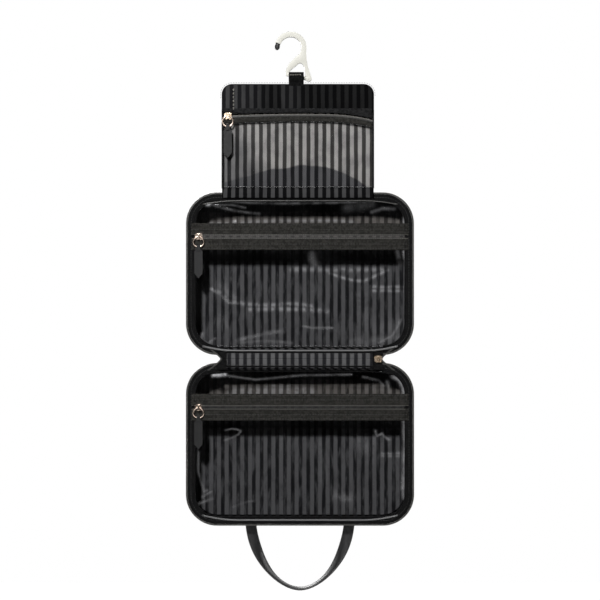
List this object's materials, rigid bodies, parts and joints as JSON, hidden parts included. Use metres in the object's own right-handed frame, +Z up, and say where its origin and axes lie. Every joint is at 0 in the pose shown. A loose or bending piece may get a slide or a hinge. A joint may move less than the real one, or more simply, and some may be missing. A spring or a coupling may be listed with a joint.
{
  "type": "hanging toiletry bag",
  "caption": "Hanging toiletry bag, opened flat: plastic hook, striped zip pouch and two folding case halves with clear zip windows, joined by a fabric spine, with a strap handle.",
  "frame": {"origin": "centre of the hook's crook, where the rail lies", "axes": "+Z up along the hanging bag, +X to the right seen from the front, +Y to the back, along the rail"},
  "size_m": [0.2664, 0.0643, 0.6553],
  "materials": {
    "hook_plastic": "satin",
    "tip_rubber": "matte",
    "webbing": "matte",
    "satin_stripe": "satin",
    "lining": "satin",
    "foam_board": "matte",
    "binding": "matte",
    "zip_tape": "matte",
    "zip_chain": "satin",
    "vinyl": "gloss",
    "rose_gold": "gloss",
    "pull_leather": "satin",
    "strap_leather": "satin"
  },
  "bodies": {
    "hook": {"hook": "hook_plastic", "hook_tip": "tip_rubber"},
    "hook_loop": {"hook_loop": "webbing"},
    "pouch": {"loop_tab": "webbing", "pouch_back": "satin_stripe", "header_panel": "satin_stripe", "pouch_edge": "binding", "pouch_binding": "binding", "pouch_lining": "lining", "pouch_hem": "binding", "pouch_zip_tape_top": "zip_tape", "pouch_zip_tape_bottom": "zip_tape", "pouch_zip_chain": "zip_chain", "pouch_window": "vinyl", "hanging_flap": "satin_stripe"},
    "upper_case": {"upper_gusset": "satin_stripe", "upper_gusset_lining": "lining", "upper_back_panel": "satin_stripe", "upper_stiffener": "foam_board", "upper_back_lining": "lining", "upper_back_piping": "binding", "upper_main_zip_tape": "zip_tape", "upper_main_zip_chain": "zip_chain", "upper_welts": "binding", "upper_window_top": "vinyl", "upper_window_bottom": "vinyl", "upper_zip_tape_top": "zip_tape", "upper_zip_tape_bottom": "zip_tape", "upper_zip_chain": "zip_chain"},
    "spine": {"spine_strip": "satin_stripe", "spine_cover": "satin_stripe", "main_slider": "rose_gold"},
    "main_pull": {"main_ring": "rose_gold", "main_pull": "pull_leather"},
    "lower_case": {"lower_gusset": "satin_stripe", "lower_gusset_lining": "lining", "lower_back_panel": "satin_stripe", "lower_stiffener": "foam_board", "lower_back_lining": "lining", "lower_back_piping": "binding", "lower_main_zip_tape": "zip_tape", "lower_main_zip_chain": "zip_chain", "lower_welts": "binding", "lower_window_top": "vinyl", "lower_window_bottom": "vinyl", "lower_zip_tape_top": "zip_tape", "lower_zip_tape_bottom": "zip_tape", "lower_zip_chain": "zip_chain", "handle_tab_left": "strap_leather", "handle_tab_right": "strap_leather"},
    "handle": {"handle_strap": "strap_leather"},
    "pouch_slider": {"pouch_slider": "rose_gold"},
    "pouch_ring": {"pouch_ring": "rose_gold"},
    "pouch_pull": {"pouch_pull": "pull_leather"},
    "upper_slider": {"upper_slider": "rose_gold"},
    "upper_ring": {"upper_ring": "rose_gold"},
    "upper_pull": {"upper_pull": "pull_leather"},
    "lower_slider": {"lower_slider": "rose_gold"},
    "lower_ring": {"lower_ring": "rose_gold"},
    "lower_pull": {"lower_pull": "pull_leather"}
  },
  "joints": [
    {"name": "loop_swing", "type": "hinge", "parent": "hook", "child": "hook_loop", "pos_m": [0.0075, 0, -0.0339], "axis": [1, 0, 0], "range_deg": [-90, 148]},
    {"name": "pouch_tilt", "type": "hinge", "parent": "hook_loop", "child": "pouch", "pos_m": [0.0085, 0, -0.0419], "axis": [1, 0, 0], "range_deg": [-70, 30]},
    {"name": "flap_fold", "type": "hinge", "parent": "pouch", "child": "upper_case", "pos_m": [0.011, -0.0041, -0.1752], "axis": [-1, 0, 0], "range_deg": [0, 180]},
    {"name": "spine_fold", "type": "hinge", "parent": "upper_case", "child": "spine", "pos_m": [0.011, 0.0014, -0.3539], "axis": [-1, 0, 0], "range_deg": [0, 90]},
    {"name": "lower_fold", "type": "hinge", "parent": "spine", "child": "lower_case", "pos_m": [0.011, 0.0014, -0.3739], "axis": [-1, 0, 0], "range_deg": [0, 90]},
    {"name": "handle_swing", "type": "hinge", "parent": "lower_case", "child": "handle", "pos_m": [0.011, 0.0203, -0.5564], "axis": [1, 0, 0], "range_deg": [-60, 80]},
    {"name": "main_pull_swing", "type": "hinge", "parent": "spine", "child": "main_pull", "pos_m": [0.1021, 0.00545, -0.3639], "axis": [1, 0, 0], "range_deg": [0, 10]},
    {"name": "pouch_zip_slide", "type": "slide", "parent": "pouch", "child": "pouch_slider", "axis": [-1, 0, 0], "range_m": [-0.1622, 0]},
    {"name": "pouch_ring_swing", "type": "hinge", "parent": "pouch_slider", "child": "pouch_ring", "pos_m": [-0.0731, -0.00755, -0.0808], "axis": [0, 1, 0], "range_deg": [-32, 32]},
    {"name": "pouch_pull_lift", "type": "hinge", "parent": "pouch_ring", "child": "pouch_pull", "pos_m": [-0.0731, -0.00755, -0.0928], "axis": [1, 0, 0], "range_deg": [-100, 0]},
    {"name": "upper_zip_slide", "type": "slide", "parent": "upper_case", "child": "upper_slider", "axis": [-1, 0, 0], "range_m": [-0.236, 0]},
    {"name": "upper_ring_swing", "type": "hinge", "parent": "upper_slider", "child": "upper_ring", "pos_m": [-0.1075, -0.00155, -0.2209], "axis": [0, 1, 0], "range_deg": [-32, 32]},
    {"name": "upper_pull_lift", "type": "hinge", "parent": "upper_ring", "child": "upper_pull", "pos_m": [-0.1075, -0.00155, -0.2329], "axis": [1, 0, 0], "range_deg": [-100, 0]},
    {"name": "lower_zip_slide", "type": "slide", "parent": "lower_case", "child": "lower_slider", "axis": [-1, 0, 0], "range_m": [-0.236, 0]},
    {"name": "lower_ring_swing", "type": "hinge", "parent": "lower_slider", "child": "lower_ring", "pos_m": [-0.1075, -0.00155, -0.4204], "axis": [0, 1, 0], "range_deg": [-32, 32]},
    {"name": "lower_pull_lift", "type": "hinge", "parent": "lower_ring", "child": "lower_pull", "pos_m": [-0.1075, -0.00155, -0.4324], "axis": [1, 0, 0], "range_deg": [-100, 0]}
  ],
  "couplings": [
    {"joint": "lower_fold", "follows": "spine_fold", "ratio": 1}
  ]
}
